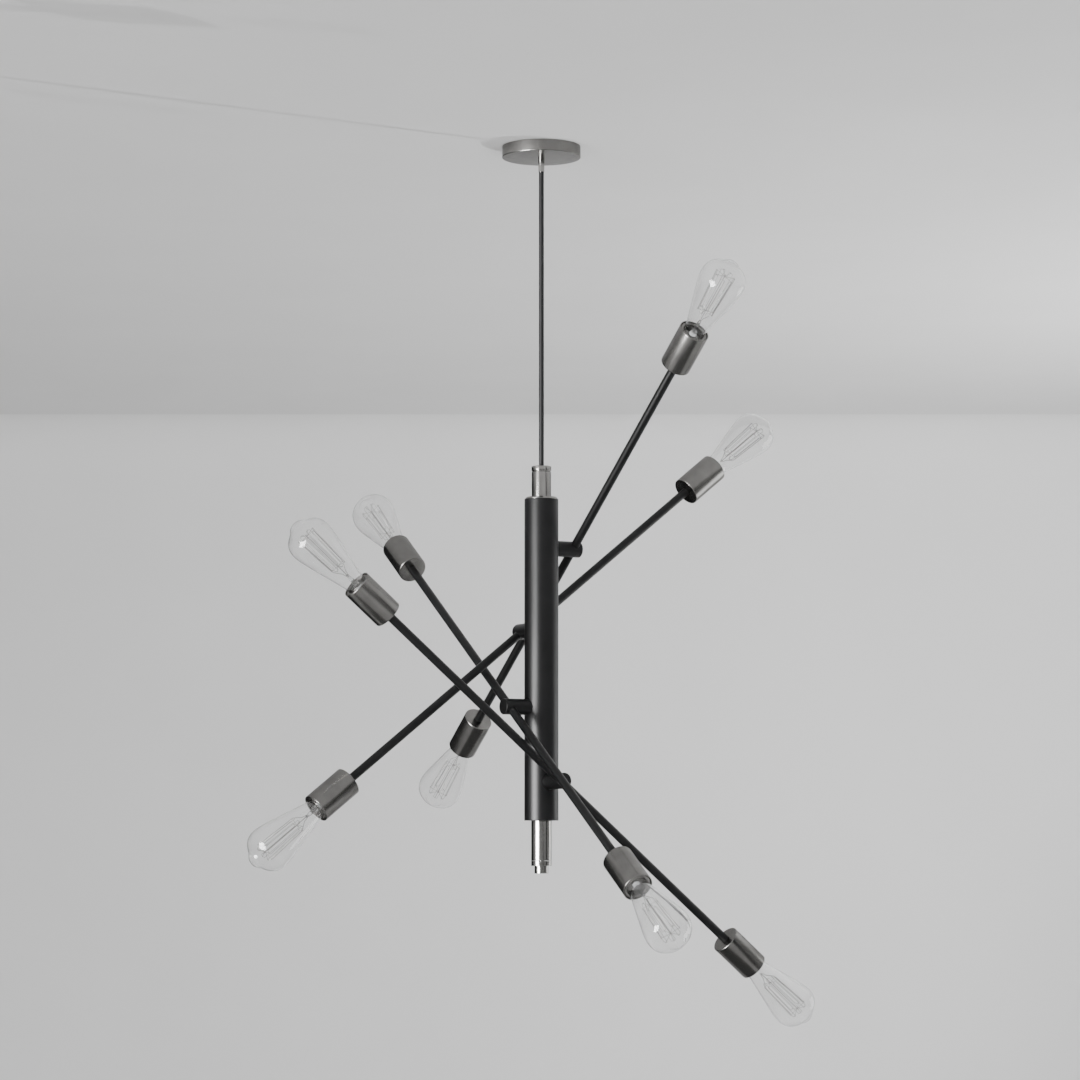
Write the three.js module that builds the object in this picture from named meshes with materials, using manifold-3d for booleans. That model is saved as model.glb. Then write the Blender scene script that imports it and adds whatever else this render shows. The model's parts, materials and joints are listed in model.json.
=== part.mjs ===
// A multi arm chandelier: a tube hung on a cord from a ceiling canopy, with four arms that pivot
// on hubs stepped a quarter turn apart, and a lamp in a cup at each end of each arm.
// Millimetres, +Z up. The origin is the centre of the canopy at the ceiling.

import * as THREE from "three";
import { mergeVertices } from "three/addons/utils/BufferGeometryUtils.js";
import Module from "manifold-3d";

const wasm = await Module();
wasm.setup();

// ---- Driving dimensions ----

const GAP = 0.3; // running and assembly clearance between neighbours
const FULL_TURN = 360;

// Canopy, strap and cord grip, from the ceiling down
const CANOPY_RADIUS = 56;
const CANOPY_HEIGHT = 16;
const CANOPY_EDGE = 1;
const SHEET = 1.2;
const STRAP_AZIMUTH = -30;
const STRAP_WIDTH = 20;
const STRAP_THICKNESS = 1.6;
const STRAP_EAR_DROP = 11;
const STRAP_HOLE_CIRCLE = 88.9; // the spacing of a ceiling box's two screws
const STRAP_HOLE_RADIUS = 2.4;
const STRAP_CENTRE_HOLE = 5;
const SMALL_SCREW_RADIUS = 1.5;
const CANOPY_SCREW_LENGTH = 7;
const CANOPY_SCREW_DEPTH = 7;
const GRIP_RADIUS = 4.3;
const GRIP_BORE = 3.75;
const GRIP_DROP = 20.5;
const GRIP_FLANGE_RADIUS = 8;
const GRIP_FLANGE = 2.5;
const TERMINAL_SIZE = [30, 14, 9];
const TERMINAL_OFFSET = 24;

// Cord, which hangs straight
const CORD_RADIUS = 3.6;
const CORD_TOP = -8;
const CORD_TAIL = 26; // below the top cap, inside the tube
const CORD_STEP = 45;
const CORD_SIDES = 10;
const CORD_DROP = 422.6; // seen, from the grip to the neck

// Neck
const NECK_RADIUS = 13.8;
const NECK_BORE = 4;
const COLLAR_HEIGHT = 7;
const SEAM = 0.8;
const NECK_HEIGHT = 44.1;
const GLAND_RADIUS = 8;
const GLAND_LENGTH = 18;

// Tube and its two ends
const TUBE_RADIUS = 24;
const TUBE_WALL = 2;
const TUBE_LENGTH = 452.6;
const CAP_RIM = 3;
const CAP_TAPER = 2.5;
const PLUG_WALL = 3.5;
const PLUG_DEPTH = 12;
const BOTTOM_PLUG_THICKNESS = 6;
const FINIAL_RADIUS = 14.3;
const FINIAL_LENGTH = 56;
const FINIAL_RING = 7;
const TIP_RADIUS = 9.7;
const TIP_LENGTH = 10.6;
const STUD_RADIUS = 4;
const STUD_LENGTH = 10;

// Pivots, each at its height above the foot of the tube
const HUB_HEIGHTS = [384, 268.5, 158.6, 54.4];
const ARM_TILTS = [40.9, 37.7, 37.1, 38.9]; // of the raised end above the horizontal
const HUB_RADIUS = 11.2;
const HUB_END = 62.5;
const HUB_REACH = 52; // from the tube's axis to the rod's
const HUB_EDGE = 0.8;
const CORE_SIZE = 20;
const CORE_MARGIN = 22;
const BOLT_RADIUS = 4;
const BOLT_LENGTH = 48;
const BOLT_HEAD_RADIUS = 6.5;
const BOLT_HEAD = 6;
const SPIGOT_RADIUS = 7;
const SPIGOT_LENGTH = 4;
const WIRE_HOLE_RADIUS = 1.6;
const WIRE_HOLE_OFFSET = 8.9;

// Arms
const ROD_RADIUS = 6;
const ROD_BORE = 4.5;
const ROD_ENTRY = 8; // how far the rod goes into a cup
const CUP_BACK = 352; // from the pivot
const CUP_LENGTH = 63;
const CUP_RADIUS = 21;
const CUP_WALL = 1.6;
const CUP_FLOOR = 2.5;
const CUP_EDGE = 1.5;

// Lamp holders and lamps, measured along the lamp from the cup's back
const HOLDER_FRONT = 61.8;
const HOLDER_FLOOR = 29;
const HOLDER_RADIUS = 18.8;
const HOLDER_BORE = 14.9;
const HOLDER_WIRE_BORE = 4;
const LAMP_CAP_RADIUS = 13.1;
const LAMP_CAP_FOOT = 30;
const LAMP_CAP_FRONT = 56.5;
const LAMP_CONTACT_RADIUS = 4.5;
const GLASS_NECK = 13.2;
const GLASS_RADIUS = 32;
const GLASS_LENGTH = 122; // beyond the cup's rim
const GLASS_WALL = 1;

// The glass's outline between its neck and its tip: radius, then distance past the cup's rim
const GLASS_OUTLINE = [
  [GLASS_NECK, 1],
  [18, 22],
  [25.2, 51],
  [30.8, 77],
  [GLASS_RADIUS, 90],
  [28, 103.5],
  [13, 114.5],
];

// ---- Heights that follow from them ----

const CANOPY_FACE = -CANOPY_HEIGHT;
const GRIP_END = CANOPY_FACE - GRIP_DROP;
const NECK_TOP = GRIP_END - CORD_DROP;
const NECK_FOOT = NECK_TOP - NECK_HEIGHT;
const TUBE_TOP = NECK_FOOT - CAP_RIM;
const TUBE_FOOT = TUBE_TOP - TUBE_LENGTH;
const TUBE_BORE = TUBE_RADIUS - TUBE_WALL;

// ---- Finishes ----

function finish(color, roughness, metalness, extra = {}) {
  return new THREE.MeshStandardMaterial({ color, roughness, metalness, ...extra });
}

const BLACK_METAL = finish(0x1c1b1c, 0.42, 0.2);
const SATIN_NICKEL = finish(0x8b8985, 0.28, 1);
const POLISHED_NICKEL = finish(0xb3b0ab, 0.12, 1);
const ZINC_STEEL = finish(0xa0a2a4, 0.45, 1);
const BLACK_CORD = finish(0x151516, 0.5, 0);
const BLACK_RUBBER = finish(0x1b1b1b, 0.8, 0);
const LAMP_CAP_NICKEL = finish(0xb5b0a5, 0.3, 1);
const CLEAR_GLASS = finish(0xffffff, 0.03, 0, { transparent: true, opacity: 0.25 });
const WHITE_PLASTIC = finish(0xe2e0da, 0.5, 0);

// ---- Shapes ----

// A solid of revolution about Z. The profile lists [radius, z] and either starts and ends on
// the axis or is closed here.
function turned(profile, segments) {
  const points = profile.map(([radius, z]) => new THREE.Vector2(radius, z));
  const onAxis = profile[0][0] === 0 && profile.at(-1)[0] === 0;
  if (!onAxis) points.push(points[0].clone());
  return new THREE.LatheGeometry(points, segments).rotateX(Math.PI / 2);
}

function cylinder(radius, from, to, segments) {
  return new THREE.CylinderGeometry(radius, radius, to - from, segments)
    .rotateX(Math.PI / 2)
    .translate(0, 0, (from + to) / 2);
}

function ring(bore, radius, from, to, segments) {
  return turned([[bore, from], [radius, from], [radius, to], [bore, to]], segments);
}

// Turns a shape made along Z so that it lies along X.
function alongX(geometry) {
  return geometry.rotateY(Math.PI / 2);
}

function toSolid(geometry) {
  const bare = geometry.clone();
  bare.deleteAttribute("normal");
  bare.deleteAttribute("uv");
  const merged = mergeVertices(bare, 1e-4);
  return new wasm.Manifold(
    new wasm.Mesh({
      numProp: 3,
      vertProperties: merged.attributes.position.array,
      triVerts: new Uint32Array(merged.index.array),
    }),
  );
}

function toGeometry(solid) {
  const { vertProperties, triVerts } = solid.getMesh();
  return new THREE.BufferGeometry()
    .setAttribute("position", new THREE.BufferAttribute(vertProperties, 3))
    .setIndex(new THREE.BufferAttribute(triVerts, 1));
}

function cut(geometry, ...tools) {
  const solid = tools.reduce((rest, tool) => rest.subtract(toSolid(tool)), toSolid(geometry));
  return toGeometry(solid);
}

function addMesh(parent, name, geometry, material) {
  const mesh = new THREE.Mesh(geometry, material);
  mesh.name = name;
  parent.add(mesh);
  return mesh;
}

function addGroup(parent) {
  const group = new THREE.Group();
  parent.add(group);
  return group;
}

const degrees = THREE.MathUtils.degToRad;

// ---- Ceiling set ----

function canopyShell() {
  const inner = CANOPY_RADIUS - SHEET;
  const plate = CANOPY_FACE + SHEET;
  const hole = GRIP_RADIUS + GAP;
  const shell = turned([
    [hole, CANOPY_FACE],
    [CANOPY_RADIUS - CANOPY_EDGE, CANOPY_FACE],
    [CANOPY_RADIUS, CANOPY_FACE + CANOPY_EDGE],
    [CANOPY_RADIUS, 0],
    [inner, 0],
    [inner, plate + CANOPY_EDGE],
    [inner - CANOPY_EDGE, plate],
    [hole, plate],
  ], 40);
  return cut(shell, screwHole().rotateZ(degrees(STRAP_AZIMUTH)));
}

// One drill right across the canopy, for its two side screws.
function screwHole() {
  const drill = cylinder(SMALL_SCREW_RADIUS + GAP, -CANOPY_RADIUS * 2, CANOPY_RADIUS * 2, 8);
  return alongX(drill).translate(0, 0, -CANOPY_SCREW_DEPTH);
}

// A flat bar against the ceiling with an ear turned down at each end.
function strap() {
  const reach = CANOPY_RADIUS - SHEET - STRAP_THICKNESS - GAP;
  const inside = reach - STRAP_THICKNESS;
  const outline = new THREE.Shape([
    new THREE.Vector2(-reach, 0),
    new THREE.Vector2(-reach, -STRAP_EAR_DROP),
    new THREE.Vector2(-inside, -STRAP_EAR_DROP),
    new THREE.Vector2(-inside, -STRAP_THICKNESS),
    new THREE.Vector2(inside, -STRAP_THICKNESS),
    new THREE.Vector2(inside, -STRAP_EAR_DROP),
    new THREE.Vector2(reach, -STRAP_EAR_DROP),
    new THREE.Vector2(reach, 0),
  ]);
  const bar = new THREE.ExtrudeGeometry(outline, { depth: STRAP_WIDTH, bevelEnabled: false })
    .rotateX(Math.PI / 2)
    .translate(0, STRAP_WIDTH / 2, 0);
  const holes = [
    [STRAP_HOLE_RADIUS, -STRAP_HOLE_CIRCLE / 2],
    [STRAP_CENTRE_HOLE, 0],
    [STRAP_HOLE_RADIUS, STRAP_HOLE_CIRCLE / 2],
  ].map(([radius, x]) => cylinder(radius, -STRAP_EAR_DROP, STRAP_EAR_DROP, 16).translate(x, 0, 0));
  return cut(bar, ...holes, screwHole());
}

function addCeilingSet(parent) {
  addMesh(parent, "canopy", canopyShell(), SATIN_NICKEL);
  const bracket = addGroup(parent);
  bracket.rotation.z = degrees(STRAP_AZIMUTH);
  addMesh(bracket, "mounting_strap", strap(), ZINC_STEEL);
  [0, 180].forEach((turn, index) => {
    const side = addGroup(bracket);
    side.rotation.z = degrees(turn);
    const outerEnd = CANOPY_RADIUS - GAP;
    const screw = alongX(cylinder(SMALL_SCREW_RADIUS, outerEnd - CANOPY_SCREW_LENGTH, outerEnd, 8));
    addMesh(side, `canopy_screw_${index + 1}`, screw, SATIN_NICKEL).position.z = -CANOPY_SCREW_DEPTH;
  });
  const [length, width, height] = TERMINAL_SIZE;
  const block = new THREE.BoxGeometry(length, width, height)
    .translate(0, TERMINAL_OFFSET, CANOPY_FACE + SHEET + GAP + height / 2);
  addMesh(bracket, "terminal_block", block, WHITE_PLASTIC);
}

// The grip's flange rests on the canopy's plate, and its barrel hangs through it.
function cordGrip() {
  const seat = CANOPY_FACE + SHEET + GAP;
  const lip = 0.3;
  return turned([
    [GRIP_BORE, GRIP_END],
    [GRIP_RADIUS - lip, GRIP_END],
    [GRIP_RADIUS, GRIP_END + lip],
    [GRIP_RADIUS, seat],
    [GRIP_FLANGE_RADIUS - 2 * GAP, seat],
    [GRIP_FLANGE_RADIUS - 2 * GAP, seat + GRIP_FLANGE],
    [GRIP_BORE, seat + GRIP_FLANGE],
  ], 16);
}

// ---- Cord ----

function hangingCord() {
  const foot = NECK_FOOT - CORD_TAIL;
  const route = new THREE.LineCurve3(new THREE.Vector3(0, 0, CORD_TOP), new THREE.Vector3(0, 0, foot));
  const corners = Array.from({ length: CORD_SIDES }, (_, side) => {
    const angle = (side / CORD_SIDES) * 2 * Math.PI;
    return new THREE.Vector2(CORD_RADIUS * Math.cos(angle), CORD_RADIUS * Math.sin(angle));
  });
  return new THREE.ExtrudeGeometry(new THREE.Shape(corners), {
    extrudePath: route,
    steps: Math.round((CORD_TOP - foot) / CORD_STEP),
  });
}

// ---- Stem ----

function neckCollar() {
  const seat = NECK_TOP - COLLAR_HEIGHT;
  const edge = 1.5;
  return turned([
    [NECK_BORE, seat],
    [NECK_RADIUS - GAP, seat],
    [NECK_RADIUS + GAP, seat + 1],
    [NECK_RADIUS + GAP, NECK_TOP - edge],
    [NECK_RADIUS - edge, NECK_TOP],
    [NECK_BORE, NECK_TOP],
  ], 24);
}

function neckSleeve() {
  const top = NECK_TOP - COLLAR_HEIGHT;
  const shoulder = NECK_RADIUS - SEAM;
  const seat = top - GLAND_LENGTH;
  return turned([
    [NECK_BORE, NECK_FOOT],
    [NECK_RADIUS, NECK_FOOT],
    [NECK_RADIUS, top - 2 * SEAM],
    [shoulder, top - SEAM],
    [shoulder, top],
    [GLAND_RADIUS + GAP, top],
    [GLAND_RADIUS + GAP, seat],
    [NECK_BORE, seat],
  ], 24);
}

// The rubber bush that the collar squeezes onto the cord.
function cordGland() {
  const top = NECK_TOP - COLLAR_HEIGHT;
  return ring(GRIP_BORE, GLAND_RADIUS, top - GLAND_LENGTH + GAP, top - GAP, 16);
}

function topCap() {
  const plug = TUBE_BORE - GAP;
  return turned([
    [NECK_BORE, TUBE_TOP - CAP_RIM],
    [plug - PLUG_WALL, TUBE_TOP - CAP_RIM],
    [plug - PLUG_WALL, TUBE_TOP - PLUG_DEPTH],
    [plug, TUBE_TOP - PLUG_DEPTH],
    [plug, TUBE_TOP],
    [TUBE_RADIUS, TUBE_TOP],
    [TUBE_RADIUS - CAP_TAPER, NECK_FOOT],
    [NECK_BORE, NECK_FOOT],
  ], 32);
}

function tube() {
  const wall = ring(TUBE_BORE, TUBE_RADIUS, TUBE_FOOT, TUBE_TOP, 32);
  const holes = HUB_HEIGHTS.map((height, index) =>
    alongX(cylinder(HUB_RADIUS + GAP, 0, TUBE_RADIUS * 2, 20))
      .rotateZ(degrees(hubAzimuth(index)))
      .translate(0, 0, TUBE_FOOT + height),
  );
  return cut(wall, ...holes);
}

// The square bar inside the tube that the four pivot bolts pull the hubs against.
function coreBar() {
  const top = TUBE_FOOT + HUB_HEIGHTS[0] + CORE_MARGIN;
  const foot = TUBE_FOOT + HUB_HEIGHTS.at(-1) - CORE_MARGIN;
  const bar = new THREE.BoxGeometry(CORE_SIZE, CORE_SIZE, top - foot).translate(0, 0, (top + foot) / 2);
  const holes = HUB_HEIGHTS.map((height, index) =>
    alongX(cylinder(BOLT_RADIUS + GAP, -CORE_SIZE, CORE_SIZE, 12))
      .rotateZ(degrees(hubAzimuth(index)))
      .translate(0, 0, TUBE_FOOT + height),
  );
  return cut(bar, ...holes);
}

function finial() {
  const foot = TUBE_FOOT - FINIAL_LENGTH;
  return turned([
    [0, foot + STUD_LENGTH + GAP],
    [STUD_RADIUS + GAP, foot + STUD_LENGTH + GAP],
    [STUD_RADIUS + GAP, foot],
    [FINIAL_RADIUS - GAP, foot],
    [FINIAL_RADIUS, foot + GAP],
    [FINIAL_RADIUS, TUBE_FOOT],
    [STUD_RADIUS, TUBE_FOOT],
    [STUD_RADIUS, TUBE_FOOT + STUD_LENGTH],
    [0, TUBE_FOOT + STUD_LENGTH],
  ], 24);
}

function finialTip() {
  const top = TUBE_FOOT - FINIAL_LENGTH - GAP;
  const step = top - FINIAL_RING;
  return turned([
    [0, step - TIP_LENGTH],
    [TIP_RADIUS - GAP, step - TIP_LENGTH],
    [TIP_RADIUS, step - TIP_LENGTH + GAP],
    [TIP_RADIUS, step],
    [FINIAL_RADIUS - GAP, step],
    [FINIAL_RADIUS, step + GAP],
    [FINIAL_RADIUS, top - GAP],
    [FINIAL_RADIUS - GAP, top],
    [STUD_RADIUS, top],
    [STUD_RADIUS, top + STUD_LENGTH],
    [0, top + STUD_LENGTH],
  ], 24);
}

function addStem(parent) {
  addMesh(parent, "neck_collar", neckCollar(), POLISHED_NICKEL);
  addMesh(parent, "neck_sleeve", neckSleeve(), POLISHED_NICKEL);
  addMesh(parent, "cord_gland", cordGland(), BLACK_RUBBER);
  addMesh(parent, "top_cap", topCap(), POLISHED_NICKEL);
  addMesh(parent, "tube", tube(), BLACK_METAL);
  addMesh(parent, "core_bar", coreBar(), ZINC_STEEL);
  const plugTop = TUBE_FOOT + BOTTOM_PLUG_THICKNESS;
  const plug = ring(STUD_RADIUS + GAP, TUBE_BORE - GAP, TUBE_FOOT, plugTop, 24);
  addMesh(parent, "bottom_plug", plug, BLACK_METAL);
  addMesh(parent, "finial", finial(), POLISHED_NICKEL);
  addMesh(parent, "finial_tip", finialTip(), POLISHED_NICKEL);
}

// ---- Arms: X runs out along the hub, and the rod crosses it ----

function hubAzimuth(index) {
  return (index * FULL_TURN) / HUB_HEIGHTS.length;
}

// Turns a shape made along Z so that it lies along the rod, raised end first.
function alongRod(geometry, tilt) {
  return geometry.rotateX(degrees(90 - tilt));
}

const X_AXIS = new THREE.Vector3(1, 0, 0);

// The hub's spigot bears on the core bar, and a wire way runs from its shoulder into the rod.
function hub(tilt) {
  const inner = CORE_SIZE / 2 + GAP;
  const body = turned([
    [0, inner],
    [SPIGOT_RADIUS, inner],
    [SPIGOT_RADIUS, inner + SPIGOT_LENGTH],
    [HUB_RADIUS, inner + SPIGOT_LENGTH],
    [HUB_RADIUS, HUB_END - HUB_EDGE],
    [HUB_RADIUS - HUB_EDGE, HUB_END],
    [0, HUB_END],
  ], 20);
  const boltHole = cylinder(BOLT_RADIUS + GAP, 0, BOLT_LENGTH - CORE_SIZE / 2 + 2 * GAP, 12);
  const wireHole = cylinder(WIRE_HOLE_RADIUS, 0, HUB_REACH, 6);
  const rodHole = alongRod(cylinder(ROD_RADIUS + GAP, -HUB_RADIUS * 2, HUB_RADIUS * 2, 16), tilt);
  rodHole.translate(HUB_REACH, 0, 0);
  const offset = new THREE.Vector3(0, 0, WIRE_HOLE_OFFSET).applyAxisAngle(X_AXIS, degrees(90 - tilt));
  return cut(
    alongX(body),
    alongX(boltHole),
    alongX(wireHole).translate(offset.x, offset.y, offset.z),
    rodHole,
  );
}

function pivotBolt() {
  const seat = -CORE_SIZE / 2 - GAP;
  return alongX(turned([
    [0, seat - BOLT_HEAD],
    [BOLT_HEAD_RADIUS, seat - BOLT_HEAD],
    [BOLT_HEAD_RADIUS, seat],
    [BOLT_RADIUS, seat],
    [BOLT_RADIUS, seat + BOLT_LENGTH],
    [0, seat + BOLT_LENGTH],
  ], 12));
}

function rod() {
  const end = CUP_BACK + ROD_ENTRY;
  const wireEntry = alongX(cylinder(WIRE_HOLE_RADIUS, -ROD_RADIUS * 2, 0, 6));
  wireEntry.translate(0, 0, WIRE_HOLE_OFFSET);
  return cut(ring(ROD_BORE, ROD_RADIUS, -end, end, 16), wireEntry);
}

function cup() {
  const bore = CUP_RADIUS - CUP_WALL;
  const rim = CUP_EDGE / 2;
  return turned([
    [ROD_RADIUS + GAP, 0],
    [CUP_RADIUS - CUP_EDGE, 0],
    [CUP_RADIUS, CUP_EDGE],
    [CUP_RADIUS, CUP_LENGTH - rim],
    [CUP_RADIUS - rim, CUP_LENGTH],
    [bore, CUP_LENGTH],
    [bore, CUP_FLOOR],
    [ROD_RADIUS + GAP, CUP_FLOOR],
  ], 18);
}

// The holder is fixed on the end of the rod and pins the cup's floor.
function lampHolder() {
  const foot = CUP_FLOOR + GAP;
  const edge = 2.5;
  return turned([
    [ROD_RADIUS + GAP, foot],
    [HOLDER_RADIUS - edge, foot],
    [HOLDER_RADIUS, foot + edge],
    [HOLDER_RADIUS, HOLDER_FRONT],
    [HOLDER_BORE, HOLDER_FRONT],
    [HOLDER_BORE, HOLDER_FLOOR],
    [HOLDER_WIRE_BORE, HOLDER_FLOOR],
    [HOLDER_WIRE_BORE, ROD_ENTRY + GAP],
    [ROD_RADIUS + GAP, ROD_ENTRY + GAP],
  ], 10);
}

function lampCap() {
  return turned([
    [0, LAMP_CAP_FOOT],
    [LAMP_CONTACT_RADIUS, LAMP_CAP_FOOT],
    [LAMP_CAP_RADIUS, LAMP_CAP_FOOT + 5],
    [LAMP_CAP_RADIUS, LAMP_CAP_FRONT],
    [0, LAMP_CAP_FRONT],
  ], 10);
}

// The glass starts at its open neck, widens to its shoulder, and ends in a low dome.
function glassProfile(inset) {
  const sides = GLASS_OUTLINE.map(([radius, past]) => [radius - inset, CUP_LENGTH + past]);
  return [
    [GLASS_NECK - inset, LAMP_CAP_FRONT + GAP],
    ...sides,
    [0, CUP_LENGTH + GLASS_LENGTH - inset],
  ];
}

function glass() {
  return turned([...glassProfile(GLASS_WALL).reverse(), ...glassProfile(0)], 12);
}

function addLamp(parent, label) {
  addMesh(parent, `cup_${label}`, cup(), SATIN_NICKEL);
  addMesh(parent, `lamp_holder_${label}`, lampHolder(), SATIN_NICKEL);
  addMesh(parent, `lamp_cap_${label}`, lampCap(), LAMP_CAP_NICKEL);
  addMesh(parent, `lamp_glass_${label}`, glass(), CLEAR_GLASS);
}

function addArm(parent, index) {
  const tilt = ARM_TILTS[index];
  const number = index + 1;
  const pivot = addGroup(parent);
  pivot.position.z = TUBE_FOOT + HUB_HEIGHTS[index];
  pivot.rotation.z = degrees(hubAzimuth(index));
  addMesh(pivot, `hub_${number}`, hub(tilt), BLACK_METAL);
  addMesh(pivot, `pivot_bolt_${number}`, pivotBolt(), ZINC_STEEL);
  const arm = addGroup(pivot);
  arm.position.x = HUB_REACH;
  arm.rotation.x = degrees(90 - tilt);
  addMesh(arm, `rod_${number}`, rod(), BLACK_METAL);
  [["upper", 0], ["lower", 180]].forEach(([end, turn]) => {
    const branch = addGroup(arm);
    branch.rotation.x = degrees(turn);
    const lamp = addGroup(branch);
    lamp.position.z = CUP_BACK;
    addLamp(lamp, `${number}_${end}`);
  });
}

// ---- Assembly ----

const chandelier = new THREE.Group();
addCeilingSet(chandelier);
addMesh(chandelier, "cord_grip", cordGrip(), POLISHED_NICKEL);
addMesh(chandelier, "cord", hangingCord(), BLACK_CORD);
addStem(chandelier);
HUB_HEIGHTS.forEach((_, index) => addArm(chandelier, index));

export default chandelier;
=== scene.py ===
"""Looks for a multi arm chandelier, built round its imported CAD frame. Metres, +Z up."""

import json
import math

import bmesh
import bpy
from mathutils import Matrix, Vector


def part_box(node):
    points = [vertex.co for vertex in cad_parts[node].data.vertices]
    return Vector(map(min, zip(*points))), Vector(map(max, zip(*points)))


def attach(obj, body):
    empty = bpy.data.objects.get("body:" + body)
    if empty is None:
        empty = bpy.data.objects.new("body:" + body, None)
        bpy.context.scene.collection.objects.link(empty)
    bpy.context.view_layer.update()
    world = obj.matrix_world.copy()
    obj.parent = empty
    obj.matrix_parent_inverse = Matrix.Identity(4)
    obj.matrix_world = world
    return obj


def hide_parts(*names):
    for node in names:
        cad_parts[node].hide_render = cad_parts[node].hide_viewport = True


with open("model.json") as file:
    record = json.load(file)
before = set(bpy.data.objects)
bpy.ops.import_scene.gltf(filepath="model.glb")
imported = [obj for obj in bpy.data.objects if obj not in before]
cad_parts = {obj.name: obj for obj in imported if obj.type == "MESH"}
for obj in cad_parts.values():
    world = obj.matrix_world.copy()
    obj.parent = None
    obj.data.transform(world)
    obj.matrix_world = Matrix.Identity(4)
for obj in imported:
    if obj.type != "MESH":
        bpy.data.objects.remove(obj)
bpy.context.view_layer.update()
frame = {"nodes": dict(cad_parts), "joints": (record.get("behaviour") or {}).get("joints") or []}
MM = 0.001

# ---- Camera ----

CAMERA_AZIMUTH = math.radians(-121.1)  # where it stands, about the tube's axis
CAMERA_DISTANCE = 4.922
CAMERA_HEIGHT = -1.029
CAMERA_PITCH = math.radians(5.4)
CAMERA_YAW = math.radians(0.023)
FIELD_OF_VIEW = math.radians(17.54)


def around(azimuth, distance, height):
    """A point about the tube's axis. The azimuth is counted from where the camera stands,
    positive towards the picture's right."""
    angle = CAMERA_AZIMUTH + math.radians(azimuth)
    return Vector((distance * math.cos(angle), distance * math.sin(angle), height))


def add_camera():
    camera = bpy.data.objects.new("camera", bpy.data.cameras.new("camera"))
    camera.data.angle = FIELD_OF_VIEW
    camera.location = around(0, CAMERA_DISTANCE, CAMERA_HEIGHT)
    turn = CAMERA_AZIMUTH + math.pi / 2 + CAMERA_YAW
    camera.rotation_euler = (math.pi / 2 + CAMERA_PITCH, 0, turn)
    bpy.context.collection.objects.link(camera)
    bpy.context.scene.camera = camera


add_camera()

# ---- Materials ----


def new_material(name):
    material = bpy.data.materials.new(name)
    material.use_nodes = True
    nodes = material.node_tree.nodes
    return material, nodes, material.node_tree.links, nodes["Principled BSDF"]


def noise(nodes, links, scale, stretch=(1, 1, 1), detail=4):
    """Noise in the piece's own coordinates."""
    where = nodes.new("ShaderNodeTexCoord")
    mapping = nodes.new("ShaderNodeMapping")
    mapping.inputs["Scale"].default_value = stretch
    texture = nodes.new("ShaderNodeTexNoise")
    texture.inputs["Scale"].default_value = scale
    texture.inputs["Detail"].default_value = detail
    links.new(where.outputs["Object"], mapping.inputs["Vector"])
    links.new(mapping.outputs["Vector"], texture.inputs["Vector"])
    return texture.outputs["Fac"]


def ramp(nodes, links, factor, low, high, start=0.3, end=0.7):
    """The factor between start and end, as a colour or a grey from low to high."""
    node = nodes.new("ShaderNodeValToRGB")
    for stop, position, value in zip(node.color_ramp.elements, (start, end), (low, high)):
        stop.position = position
        stop.color = (*value, 1) if isinstance(value, tuple) else (value, value, value, 1)
    links.new(factor, node.inputs["Fac"])
    return node.outputs["Color"]


def bump(nodes, links, factor, shader, distance, strength=1.0):
    node = nodes.new("ShaderNodeBump")
    node.inputs["Distance"].default_value = distance
    node.inputs["Strength"].default_value = strength
    links.new(factor, node.inputs["Height"])
    links.new(node.outputs["Normal"], shader.inputs["Normal"])


def metal(name, dark, light, smooth, rough, grain, stretch, depth, anisotropic=0.0):
    """Bare or plated metal with a faint mottle and a turned or brushed grain."""
    material, nodes, links, shader = new_material(name)
    shader.inputs["Metallic"].default_value = 1.0
    shader.inputs["Anisotropic"].default_value = anisotropic
    shader.inputs["Specular Tint"].default_value = (0.6, 0.6, 0.6, 1)
    mottle = noise(nodes, links, 60)
    links.new(ramp(nodes, links, mottle, dark, light), shader.inputs["Base Color"])
    lines = noise(nodes, links, grain, stretch, detail=2)
    links.new(ramp(nodes, links, lines, smooth, rough), shader.inputs["Roughness"])
    bump(nodes, links, lines, shader, depth, 0.3)
    return material


def coating(name, dark, light, smooth, rough, grain, depth, specular=0.5):
    """Paint, rubber, plastic or glaze."""
    material, nodes, links, shader = new_material(name)
    shader.inputs["Specular IOR Level"].default_value = specular
    mottle = noise(nodes, links, 35)
    links.new(ramp(nodes, links, mottle, dark, light), shader.inputs["Base Color"])
    skin = noise(nodes, links, grain, detail=3)
    links.new(ramp(nodes, links, skin, smooth, rough), shader.inputs["Roughness"])
    bump(nodes, links, skin, shader, depth, 0.4)
    return material


def clear_glass(name, tint):
    """Glass that bends what is behind it, and lets the lamps' light straight through."""
    material, nodes, links, shader = new_material(name)
    shader.inputs["Base Color"].default_value = (*tint, 1)
    shader.inputs["Transmission Weight"].default_value = 1.0
    shader.inputs["IOR"].default_value = 1.5
    shader.inputs["Roughness"].default_value = 0.0
    bump(nodes, links, noise(nodes, links, 18, detail=1), shader, 0.0006, 0.15)
    through = nodes.new("ShaderNodeBsdfTransparent")
    path = nodes.new("ShaderNodeLightPath")
    mix = nodes.new("ShaderNodeMixShader")
    links.new(path.outputs["Is Shadow Ray"], mix.inputs[0])
    links.new(shader.outputs[0], mix.inputs[1])
    links.new(through.outputs[0], mix.inputs[2])
    links.new(mix.outputs[0], nodes["Material Output"].inputs["Surface"])
    return material


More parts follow.
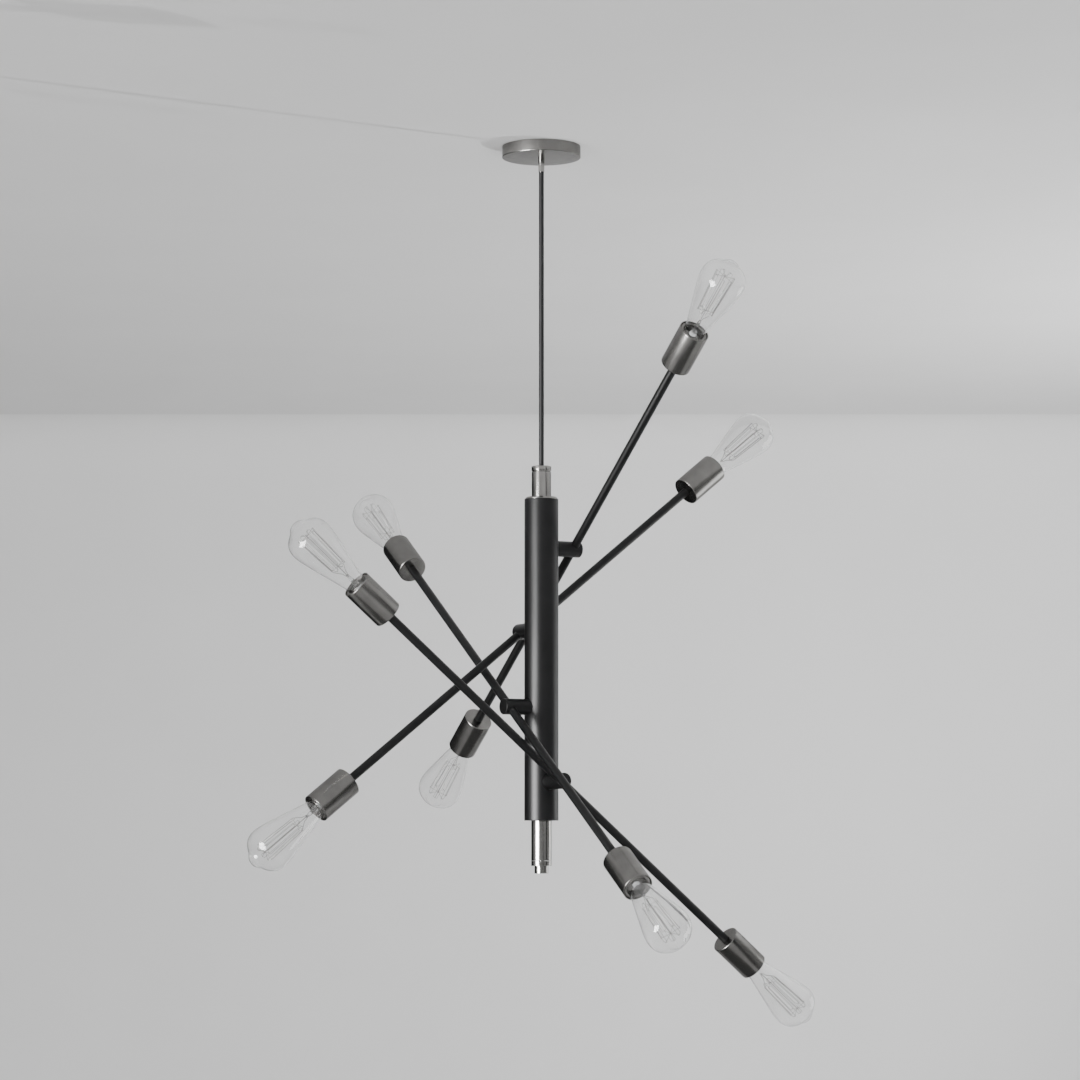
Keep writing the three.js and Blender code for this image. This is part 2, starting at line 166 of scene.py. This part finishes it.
RINGS = (1, 1, 60)  # turned lines round a piece's own Z axis
FINE = (1, 1, 1)
BLACK_METAL = coating(
    "black_powder_coat", (0.007, 0.007, 0.0074), (0.01, 0.01, 0.0105), 0.34, 0.42, 2200, 0.00006, 0.22
)
SATIN_NICKEL = metal(
    "satin_nickel", (0.18, 0.176, 0.17), (0.22, 0.216, 0.208), 0.2, 0.27, 70, RINGS, 0.00002, 0.2
)
POLISHED_NICKEL = metal(
    "polished_nickel", (0.30, 0.295, 0.285), (0.35, 0.345, 0.335), 0.13, 0.19, 90, RINGS, 0.00001
)
LAMP_NICKEL = metal("lamp_nickel", (0.15, 0.147, 0.142), (0.2, 0.196, 0.19), 0.1, 0.16, 400, FINE, 0.00002)
ZINC_STEEL = metal("zinc_steel", (0.45, 0.46, 0.47), (0.6, 0.61, 0.62), 0.3, 0.5, 300, FINE, 0.00004)
WIRE = metal("filament_wire", (0.2, 0.196, 0.19), (0.3, 0.295, 0.285), 0.25, 0.4, 900, FINE, 0.00001)
CORD_JACKET = coating("cord_jacket", (0.009, 0.009, 0.01), (0.013, 0.013, 0.014), 0.5, 0.6, 900, 0.0001, 0.25)
RUBBER = coating("rubber", (0.012, 0.012, 0.012), (0.02, 0.02, 0.02), 0.6, 0.8, 900, 0.0001)
WHITE_PLASTIC = coating("white_plastic", (0.72, 0.71, 0.68), (0.8, 0.79, 0.77), 0.35, 0.45, 700, 0.00005)
CLEAR_GLASS = clear_glass("lamp_glass", (0.99, 0.99, 0.99))
STEM_GLASS = clear_glass("stem_glass", (0.97, 0.98, 0.98))

# ---- Shapes ----


def finish_mesh(name, bm, material, place, sharp=35):
    mesh = bpy.data.meshes.new(name)
    bm.to_mesh(mesh)
    bm.free()
    mesh.materials.append(material)
    mesh.shade_smooth()
    mesh.set_sharp_from_angle(angle=math.radians(sharp))
    piece = bpy.data.objects.new(name, mesh)
    piece.matrix_world = place
    bpy.context.collection.objects.link(piece)
    return piece


def rounded(points):
    """A profile of (radius, z) in millimetres, with each corner that has a third number
    rounded to that radius. Returned in metres."""
    profile = []
    for i, (radius, z, *fillet) in enumerate(points):
        corner = Vector((radius, z))
        if not fillet:
            profile.append(corner)
            continue
        before = Vector(points[i - 1][:2]) - corner
        after = Vector(points[(i + 1) % len(points)][:2]) - corner
        half = before.angle(after) / 2
        reach = min(fillet[0] / math.tan(half), 0.49 * before.length, 0.49 * after.length)
        start = corner + before.normalized() * reach
        end = corner + after.normalized() * reach
        steps = 5
        for step in range(steps + 1):
            t = step / steps
            profile.append(start.lerp(corner, t).lerp(corner.lerp(end, t), t))
    return [point * MM for point in profile]


def lathe(bm, profile, segments):
    """Turns a profile about Z. A profile that doesn't start and end on the axis is a closed ring."""
    rings = []
    for radius, z in profile:
        if radius < 1e-7:
            rings.append([bm.verts.new((0, 0, z))])
            continue
        angles = [2 * math.pi * i / segments for i in range(segments)]
        rings.append([bm.verts.new((radius * math.cos(a), radius * math.sin(a), z)) for a in angles])
    pairs = list(zip(rings, rings[1:]))
    if len(rings[0]) > 1:
        pairs.append((rings[-1], rings[0]))
    for lower, upper in pairs:
        for i in range(segments):
            j = (i + 1) % segments
            corners = [ring[k % len(ring)] for ring, k in ((lower, i), (lower, j), (upper, j), (upper, i))]
            face = list(dict.fromkeys(corners))
            if len(face) > 2:
                bm.faces.new(face)
    bmesh.ops.recalc_face_normals(bm, faces=bm.faces)


def turned(name, points, material, place, segments=64):
    bm = bmesh.new()
    lathe(bm, rounded(points), segments)
    return finish_mesh(name, bm, material, place)


def drill(piece, holes):
    """Cuts round holes. Each is a radius, a centre, a direction and a length, in the piece's frame."""
    for radius, point, direction, length in holes:
        bm = bmesh.new()
        turn = Vector(direction).to_track_quat("Z", "Y").to_matrix().to_4x4()
        bmesh.ops.create_cone(
            bm, cap_ends=True, segments=64, radius1=radius, radius2=radius, depth=length,
            matrix=Matrix.Translation(point) @ turn,
        )
        mesh = bpy.data.meshes.new("drill")
        bm.to_mesh(mesh)
        bm.free()
        tool = bpy.data.objects.new("drill", mesh)
        tool.matrix_world = piece.matrix_world
        bpy.context.collection.objects.link(tool)
        modifier = piece.modifiers.new("hole", "BOOLEAN")
        modifier.operation = "DIFFERENCE"
        modifier.solver = "EXACT"
        modifier.object = tool
        bpy.context.view_layer.update()
        evaluated = piece.evaluated_get(bpy.context.evaluated_depsgraph_get())
        cut = bpy.data.meshes.new_from_object(evaluated)
        piece.modifiers.clear()
        piece.data = cut
        bpy.data.objects.remove(tool)
    piece.data.shade_smooth()
    piece.data.set_sharp_from_angle(angle=math.radians(35))


def stand_for(piece, body, *nodes):
    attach(piece, body)
    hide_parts(*nodes)


def centre_and_size(node):
    low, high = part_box(node)
    return (low + high) / 2, high - low


# ---- Cord ----


def add_cord():
    low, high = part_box("cord")
    curve = bpy.data.curves.new("pendant_cord", "CURVE")
    curve.dimensions = "3D"
    curve.bevel_depth = 3.6 * MM
    curve.bevel_resolution = 8
    spline = curve.splines.new("POLY")
    count = 24
    spline.points.add(count - 1)
    for i, point in enumerate(spline.points):
        point.co = (0, 0, high.z + (low.z - high.z) * i / (count - 1), 1)
    curve.materials.append(CORD_JACKET)
    cord = bpy.data.objects.new("pendant_cord", curve)
    bpy.context.collection.objects.link(cord)
    stand_for(cord, "stem", "cord")


add_cord()

# ---- Ceiling set and stem ----


def at(height):
    return Matrix.Translation((0, 0, height))


def add_stem_piece(name, node, points, material, base, segments=96):
    """A turned piece of the stem. Its profile is in millimetres from the height base."""
    piece = turned(name, points, material, at(base), segments)
    stand_for(piece, "stem", node)
    return piece


def add_stem():
    canopy_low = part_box("canopy")[0].z
    add_stem_piece("canopy_pan", "canopy", [
        (4.6, 0), (56, 0, 0.9), (56, 16), (54.8, 16), (54.8, 1.2, 1), (4.6, 1.2),
    ], SATIN_NICKEL, canopy_low, 128)
    grip_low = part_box("cord_grip")[0].z
    add_stem_piece("cord_grip_post", "cord_grip", [
        (3.75, 0), (4.3, 0, 0.4), (4.3, 22), (7.4, 22, 0.3), (7.4, 24.5, 0.3), (3.75, 24.5),
    ], POLISHED_NICKEL, grip_low, 48)
    collar_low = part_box("neck_collar")[0].z
    add_stem_piece("neck_nut", "neck_collar", [
        (4, 0), (13.4, 0, 0.3), (14.1, 0.9, 0.4), (14.1, 7, 1.2), (4, 7, 0.4),
    ], POLISHED_NICKEL, collar_low)
    sleeve_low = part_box("neck_sleeve")[0].z
    add_stem_piece("neck_body", "neck_sleeve", [
        (4, 0), (13.8, 0), (13.8, 35.5, 0.4), (13, 36.3), (13, 37.1), (8.3, 37.1), (8.3, 19.1), (4, 19.1),
    ], POLISHED_NICKEL, sleeve_low)
    cap_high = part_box("top_cap")[1].z
    add_stem_piece("tube_cap", "top_cap", [
        (4, 0), (21.6, 0, 0.4), (24, -2.6, 0.4), (24, -3, 0.2), (21.7, -3), (21.7, -15),
        (18.2, -15), (18.2, -6), (4, -6),
    ], POLISHED_NICKEL, cap_high)
    low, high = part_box("tube")
    length = (high.z - low.z) / MM
    tube = add_stem_piece("main_tube", "tube", [
        (22, 0, 0.3), (24, 0, 0.4), (24, length, 0.3), (22, length, 0.3),
    ], BLACK_METAL, low.z, 128)
    holes = []
    for joint in frame["joints"]:
        axis = Vector(joint["axis"])
        height = joint["pos_m"][2] - low.z
        holes.append((11.5 * MM, axis * 24 * MM + Vector((0, 0, height)), axis, 20 * MM))
    drill(tube, holes)
    add_stem_piece("tube_foot_plug", "bottom_plug", [
        (4.3, 0), (21.7, 0, 0.5), (21.7, 6, 0.5), (4.3, 6),
    ], BLACK_METAL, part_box("bottom_plug")[0].z)
    finial_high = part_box("tube")[0].z
    add_stem_piece("finial_body", "finial", [
        (0, -45.7), (4.3, -45.7), (4.3, -56), (14.3, -56, 0.5), (14.3, 0, 0.2), (4, 0), (4, 10, 0.5), (0, 10),
    ], POLISHED_NICKEL, finial_high)
    tip_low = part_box("finial_tip")[0].z
    add_stem_piece("finial_end", "finial_tip", [
        (0, 0), (9.7, 0, 0.6), (9.7, 10.6), (14.3, 10.6, 0.6), (14.3, 17.6, 0.5), (4, 17.6),
        (4, 27.6, 0.5), (0, 27.6),
    ], POLISHED_NICKEL, tip_low)
    for number in (1, 2):
        centre, _ = centre_and_size(f"canopy_screw_{number}")
        outward = Vector((centre.x, centre.y, 0)).normalized()
        place = Matrix.Translation(centre) @ outward.to_track_quat("Z", "Y").to_matrix().to_4x4()
        screw = turned(f"canopy_side_screw_{number}", [
            (0, -3.5), (1.3, -3.5), (1.3, 2.6), (1.5, 3.1), (1.5, 3.5, 0.2), (0.7, 3.5), (0.7, 2.3), (0, 2.3),
        ], SATIN_NICKEL, place, 24)
        stand_for(screw, "stem", f"canopy_screw_{number}")


add_stem()

# ---- Arms ----

CUP_LENGTH = 63
RIM = CUP_LENGTH
GLASS_NECK_DEPTH = 6.2
WALL = 0.7

# The glass's outline: radius, then distance past the cup's rim.
GLASS_OUTLINE = [
    (13.9, -GLASS_NECK_DEPTH), (14.3, -2), (14.9, 2), (16.0, 10), (18.7, 22), (21.9, 36), (25.3, 51),
    (28.6, 66), (30.8, 77), (31.9, 86), (31.9, 92), (30.8, 98), (28.4, 103), (24.6, 107.2),
    (20.4, 110.3), (16.6, 112.8), (13.8, 115.0), (11.2, 117.8), (7.6, 120.4), (3.8, 121.7), (0, 122.0),
]


def smooth_outline(points, steps=4):
    """Points on a Catmull-Rom curve through the given ones."""
    result = []
    for i in range(len(points) - 1):
        p0, p1, p2, p3 = (Vector(points[max(0, min(len(points) - 1, i + k))]) for k in (-1, 0, 1, 2))
        for step in range(steps):
            t = step / steps
            result.append(
                0.5 * ((2 * p1) + (p2 - p0) * t + (2 * p0 - 5 * p1 + 4 * p2 - p3) * t * t
                       + (3 * p1 - p0 - 3 * p2 + p3) * t * t * t)
            )
    result.append(Vector(points[-1]))
    return result


def glass_shell(name, place):
    outer = [Vector((max(0, p.x), RIM + p.y)) for p in smooth_outline(GLASS_OUTLINE)]
    inner = []
    for i, point in enumerate(outer):
        along = outer[min(i + 1, len(outer) - 1)] - outer[max(i - 1, 0)]
        normal = Vector((along.y, -along.x)).normalized()
        inner.append(Vector((max(0, point.x - WALL * normal.x), point.y - WALL * normal.y)))
    inner[-1].x = 0
    bm = bmesh.new()
    lathe(bm, [p * MM for p in [*reversed(inner), *outer]], 64)
    bm.transform(place)
    return finish_mesh(name, bm, CLEAR_GLASS, Matrix())


def stem_glass(name, place):
    """The flared stem that carries the wires, pinched flat at its far end."""
    return turned(name, [
        (0, RIM - 6), (5.6, RIM - 6, 0.3), (4.6, RIM - 2, 2), (3, RIM + 5, 2), (2.6, RIM + 12, 2),
        (2, RIM + 16, 1), (1.3, RIM + 19, 1), (0, RIM + 20),
    ], STEM_GLASS, place, 40)


STRANDS = 14
CAGE_RADIUS = 13.7
CAGE_NEAR_RADIUS = 11
CAGE_NEAR = RIM + 36
CAGE_FAR = RIM + 98


def lamp_wires(name, place):
    """The support wire with its two stars of hooks, the lead wires and the filament's strands."""
    curve = bpy.data.curves.new(name, "CURVE")
    curve.dimensions = "3D"
    curve.bevel_depth = 0.34 * MM
    curve.bevel_resolution = 2
    curve.materials.append(WIRE)

    def wire(points, thickness=1.0):
        spline = curve.splines.new("POLY")
        spline.points.add(len(points) - 1)
        for knot, point in zip(spline.points, points):
            knot.co = (*(Vector(point) * MM), 1)
            knot.radius = thickness

    def on_cage(index, height, outward=0):
        angle = 2 * math.pi * index / STRANDS
        along = (height - CAGE_NEAR) / (CAGE_FAR - CAGE_NEAR)
        radius = CAGE_NEAR_RADIUS + (CAGE_RADIUS - CAGE_NEAR_RADIUS) * along + outward
        return (radius * math.cos(angle), radius * math.sin(angle), height)

    wire([(0, 0, RIM + 15), (0, 0, CAGE_FAR + 2)], 1.7)
    for side in (1, -1):
        first = on_cage(0 if side > 0 else STRANDS // 2, CAGE_NEAR)
        wire([(side * 1.4, 0, RIM + 16), (side * 3.2, 0, RIM + 24), first], 1.3)
    for pair in range(STRANDS // 2):
        near, far = 2 * pair + 0.5, 2 * pair + 1.5
        wire([(0, 0, CAGE_FAR - 1), on_cage(near, CAGE_FAR + 1.2), on_cage(near, CAGE_FAR - 0.2, 0.8)])
        if pair < STRANDS // 2 - 1:
            wire([(0, 0, CAGE_NEAR + 1), on_cage(far, CAGE_NEAR - 1.5), on_cage(far, CAGE_NEAR, 0.8)])
    path = []
    for strand in range(STRANDS):
        ends = (CAGE_NEAR, CAGE_FAR) if strand % 2 == 0 else (CAGE_FAR, CAGE_NEAR)
        path += [on_cage(strand, ends[0]), on_cage(strand, ends[1])]
        if strand < STRANDS - 1:
            height = ends[1] + (0.9 if strand % 2 == 0 else -0.9)
            path.append(on_cage(strand + 0.5, height))
    wire(path)
    piece = bpy.data.objects.new(name, curve)
    piece.matrix_world = place
    bpy.context.collection.objects.link(piece)
    return piece


def add_lamp(body, label, place):
    cup = turned(f"cup_shell_{label}", [
        (6.3, 0), (21, 0, 1.4), (21, CUP_LENGTH, 0.7), (19.4, CUP_LENGTH, 0.5), (19.4, 2.5), (6.3, 2.5),
    ], SATIN_NICKEL, place, 96)
    stand_for(cup, body, f"cup_{label}")
    holder = turned(f"holder_{label}", [
        (6.3, 2.8), (16.3, 2.8, 1), (18.8, 5.3, 1), (18.8, 61.8, 0.6), (14.9, 61.8, 0.8), (14.9, 29),
        (4, 29), (4, 8.3), (6.3, 8.3),
    ], SATIN_NICKEL, place, 64)
    stand_for(holder, body, f"lamp_holder_{label}")
    thread = [(0, 30), (4.5, 30, 0.5), (5.5, 33, 0.5), (12.2, 35, 0.5)]
    for turn in range(5):
        z = 36.5 + 3.4 * turn
        thread += [(13.1, z, 0.8), (12.3, z + 1.7, 0.8)]
    thread += [(13.1, 53.5, 0.8), (13.1, 56.5, 0.3), (0, 56.5)]
    cap = turned(f"screw_cap_{label}", thread, LAMP_NICKEL, place, 48)
    stand_for(cap, body, f"lamp_cap_{label}")
    glass = glass_shell(f"glass_{label}", place)
    stand_for(glass, body, f"lamp_glass_{label}")
    stem = stem_glass(f"stem_{label}", place)
    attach(stem, body)
    wires = lamp_wires(f"filament_{label}", place)
    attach(wires, body)


def add_arm(joint):
    body = joint["child"]
    number = body.split("_")[1]
    pivot = Vector(joint["pos_m"])
    outward = Vector(joint["axis"])
    directions = {}
    for end in ("upper", "lower"):
        centre, _ = centre_and_size(f"cup_{number}_{end}")
        directions[end] = (centre - pivot).normalized()
    along = directions["upper"]
    frame_of_rod = Matrix((outward, along.cross(outward), along)).transposed().to_4x4()
    rod = turned(f"arm_rod_{number}", [
        (4.5, -360), (6, -360, 0.3), (6, 360, 0.3), (4.5, 360),
    ], BLACK_METAL, Matrix.Translation(pivot) @ frame_of_rod, 48)
    stand_for(rod, body, f"rod_{number}")
    axis_height = Vector((0, 0, pivot.z))
    frame_of_hub = Matrix((outward.cross(along), -along, outward)).transposed().to_4x4()
    hub = turned(f"arm_hub_{number}", [
        (0, 10.3), (7, 10.3), (7, 14.3), (11.2, 14.3), (11.2, 62.5, 1.0), (0, 62.5),
    ], BLACK_METAL, Matrix.Translation(axis_height) @ frame_of_hub, 64)
    rod_hole = (6.3 * MM, (0, 0, 52 * MM), (0, 1, 0), 30 * MM)
    bolt_hole = (4.3 * MM, (0, 0, 20 * MM), (0, 0, 1), 37 * MM)
    drill(hub, [rod_hole, bolt_hole])
    stand_for(hub, body, f"hub_{number}")
    for end, direction in directions.items():
        back, _ = centre_and_size(f"cup_{number}_{end}")
        back = back - direction * (CUP_LENGTH / 2 * MM)
        turn = Matrix((outward.cross(direction), outward, direction)).transposed().to_4x4()
        add_lamp(body, f"{number}_{end}", Matrix.Translation(back) @ turn)


for hinge in frame["joints"]:
    add_arm(hinge)

# ---- CAD nodes that are shown as they are ----

SHOWN = {
    "mounting_strap": ZINC_STEEL, "core_bar": ZINC_STEEL,
    "terminal_block": WHITE_PLASTIC, "cord_gland": RUBBER,
}
for number in range(1, 5):
    SHOWN[f"pivot_bolt_{number}"] = ZINC_STEEL
for node, material in SHOWN.items():
    frame["nodes"][node].data.materials.clear()
    frame["nodes"][node].data.materials.append(material)

# ---- Stage ----


def plain_surface(name, shade, one_sided):
    material, nodes, links, shader = new_material(name)
    shader.inputs["Roughness"].default_value = 0.9
    shader.inputs["Specular IOR Level"].default_value = 0.1
    links.new(
        ramp(nodes, links, noise(nodes, links, 3), shade * 0.985, shade * 1.015), shader.inputs["Base Color"]
    )
    if one_sided:
        geometry = nodes.new("ShaderNodeNewGeometry")
        through = nodes.new("ShaderNodeBsdfTransparent")
        mix = nodes.new("ShaderNodeMixShader")
        links.new(geometry.outputs["Backfacing"], mix.inputs[0])
        links.new(shader.outputs[0], mix.inputs[1])
        links.new(through.outputs[0], mix.inputs[2])
        links.new(mix.outputs[0], nodes["Material Output"].inputs["Surface"])
    return material


def add_plane(name, centre, facing, size, material):
    bm = bmesh.new()
    bmesh.ops.create_grid(bm, x_segments=1, y_segments=1, size=0.5)
    mesh = bpy.data.meshes.new(name)
    bm.to_mesh(mesh)
    bm.free()
    mesh.materials.append(material)
    plane = bpy.data.objects.new(name, mesh)
    turn = Vector(facing).to_track_quat("Z", "Y").to_matrix().to_4x4()
    plane.matrix_world = Matrix.Translation(centre) @ turn @ Matrix.Diagonal((*size, 1, 1))
    bpy.context.collection.objects.link(plane)
    return plane


def add_light(name, centre, aim, size, power):
    data = bpy.data.lights.new(name, "AREA")
    data.shape = "RECTANGLE"
    data.size, data.size_y = size
    data.energy = power
    light = bpy.data.objects.new(name, data)
    direction = Vector(aim) - Vector(centre)
    light.matrix_world = Matrix.Translation(centre) @ direction.to_track_quat("-Z", "Y").to_matrix().to_4x4()
    bpy.context.collection.objects.link(light)
    light.visible_camera = light.visible_transmission = False
    return light


WALL_DISTANCE = 3.06
FLOOR_HEIGHT = -2.7
MIDDLE = (0, 0, -0.65)


def add_glossy_card(name, azimuth, distance, height, size, shade):
    """A dark card that only reflections see: painted shade in the reflections, standing in for the dark gaps
    between a studio's lights.
    """
    centre = around(azimuth, distance, height)
    card = add_plane(name, centre, Vector(MIDDLE) - centre, size, plain_surface(name, shade, False))
    card.visible_camera = card.visible_diffuse = card.visible_shadow = card.visible_transmission = False


def add_world():
    world = bpy.data.worlds.new("studio")
    bpy.context.scene.world = world
    world.use_nodes = True
    world.node_tree.nodes["Background"].inputs["Color"].default_value = (0.9, 0.9, 0.9, 1)
    world.node_tree.nodes["Background"].inputs["Strength"].default_value = 0.45


def add_back_wall(material):
    """The wall behind, whose top runs into the ceiling in a small cove."""
    cove = 0.12
    profile = [(WALL_DISTANCE, FLOOR_HEIGHT)]
    for step in range(9):
        angle = math.radians(90) * step / 8
        profile.append((WALL_DISTANCE - cove * (1 - math.cos(angle)), cove * (math.sin(angle) - 1)))
    sideways = around(90, 8, 0)
    bm = bmesh.new()
    left, right = (
        [bm.verts.new(around(180, distance, height) + side * sideways) for distance, height in profile]
        for side in (-1, 1)
    )
    for i in range(len(profile) - 1):
        bm.faces.new((left[i], right[i], right[i + 1], left[i + 1]))
    finish_mesh("back_wall", bm, material, Matrix())


def add_ceiling(material):
    """The ceiling, open over the canopy as it is round a ceiling box."""
    low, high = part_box("canopy")
    bm = bmesh.new()
    angles = [2 * math.pi * i / 64 for i in range(64)]
    inner, outer = (
        [bm.verts.new((radius * math.cos(a), radius * math.sin(a), 0.0005)) for a in angles]
        for radius in ((high.x - low.x) / 2 - 0.003, 10)
    )
    for i in range(64):
        j = (i + 1) % 64
        bm.faces.new((inner[i], inner[j], outer[j], outer[i]))
    finish_mesh("ceiling", bm, material, Matrix())


def add_stage():
    add_back_wall(plain_surface("wall_paint", 0.84, True))
    add_ceiling(plain_surface("ceiling_paint", 0.75, True))
    add_plane("floor", (0, 0, FLOOR_HEIGHT), (0, 0, 1), (16, 16), plain_surface("floor_paint", 0.6, True))
    key = add_light("key", around(-47, 3.4, -0.9), MIDDLE, (1.5, 1.5), 34)
    key.visible_glossy = False
    fill = add_light("fill", around(25, 5.6, -1.5), around(172, 3, -1.9), (4, 1.6), 140)
    fill.visible_glossy = False
    wall_wash = add_light("wall_wash", around(78, 3.2, -1.6), around(150, 3.2, -1.8), (1.2, 1.2), 38)
    wall_wash.visible_glossy = False
    window = add_light("window", around(-47, 3.0, -1.15), (0, 0, -0.9), (1.5, 1.7), 480)
    window.visible_diffuse = False
    edge = add_light("edge", around(112, 2.6, -1.1), MIDDLE, (1.4, 1.4), 22)
    edge.visible_diffuse = False
    low = add_light("low", around(122, 2.7, -1.29), (0, 0, -0.2), (0.02, 0.02), 60)
    low.visible_glossy = False
    # Dark cards seen only in reflections: painted shade in the reflections on the metal and glass.
    add_glossy_card("dark_left", -132, 2.2, -1.3, (2.6, 2.6), 0.02)
    add_glossy_card("dark_below", 0, 0.01, FLOOR_HEIGHT + 0.01, (2.2, 2.2), 0.1)
    add_glossy_card("dark_right", 60, 3, -1.2, (0.6, 3), 0.02)
    add_world()


add_stage()
